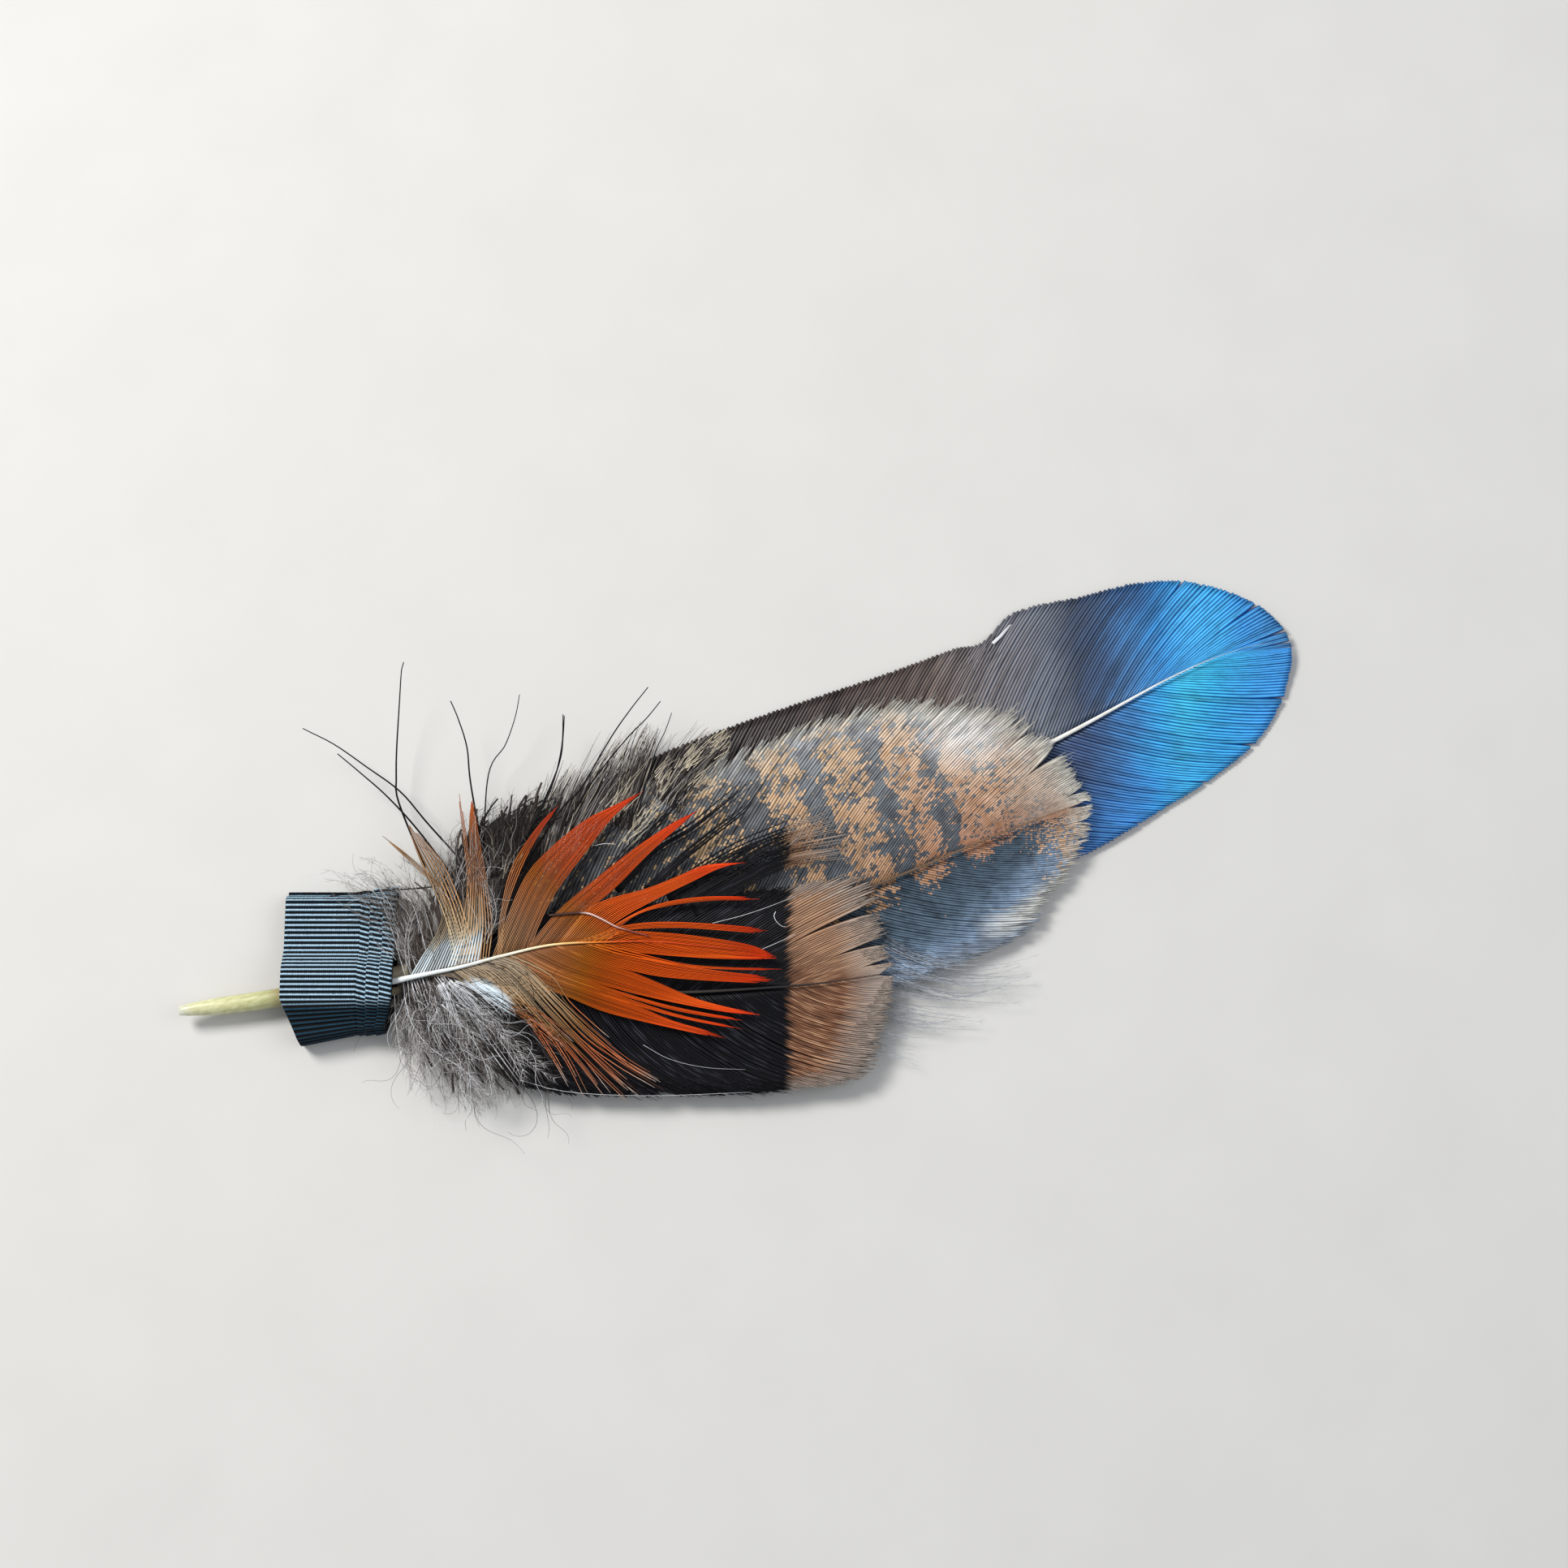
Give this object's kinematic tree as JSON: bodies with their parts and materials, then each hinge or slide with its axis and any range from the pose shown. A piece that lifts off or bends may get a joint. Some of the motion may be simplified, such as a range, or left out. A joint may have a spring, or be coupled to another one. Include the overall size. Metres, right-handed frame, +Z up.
{
  "type": "hat feather",
  "caption": "Layered feather trim for a hat: a blue wing feather, a mottled, a black and tan and an orange feather held in a ribbon loop.",
  "frame": {"origin": "middle of the bounding box, on the surface the bundle lies on", "axes": "+X from the cut quill to the blue tip, +Y across the vanes towards the loose hairs, +Z up from the surface, out of the feathers' upper faces"},
  "size_m": [0.1612, 0.0742, 0.0085],
  "materials": {
    "blue_vane": "silky, iridescent blue barbs on a cream quill",
    "mottled_vane": "matte slate barbs with tan bars and a cream margin",
    "black_tan_vane": "satin black barbs with a tan end band",
    "orange_vane": "silky orange barbs, red at the tips, with grey down at the root",
    "ribbon": "ribbed grosgrain with a low sheen"
  },
  "bodies": {
    "root": {"blue_feather": "blue_vane", "mottled_feather": "mottled_vane", "black_tan_feather": "black_tan_vane", "orange_feather": "orange_vane", "ribbon_loop": "ribbon"}
  },
  "joints": []
}
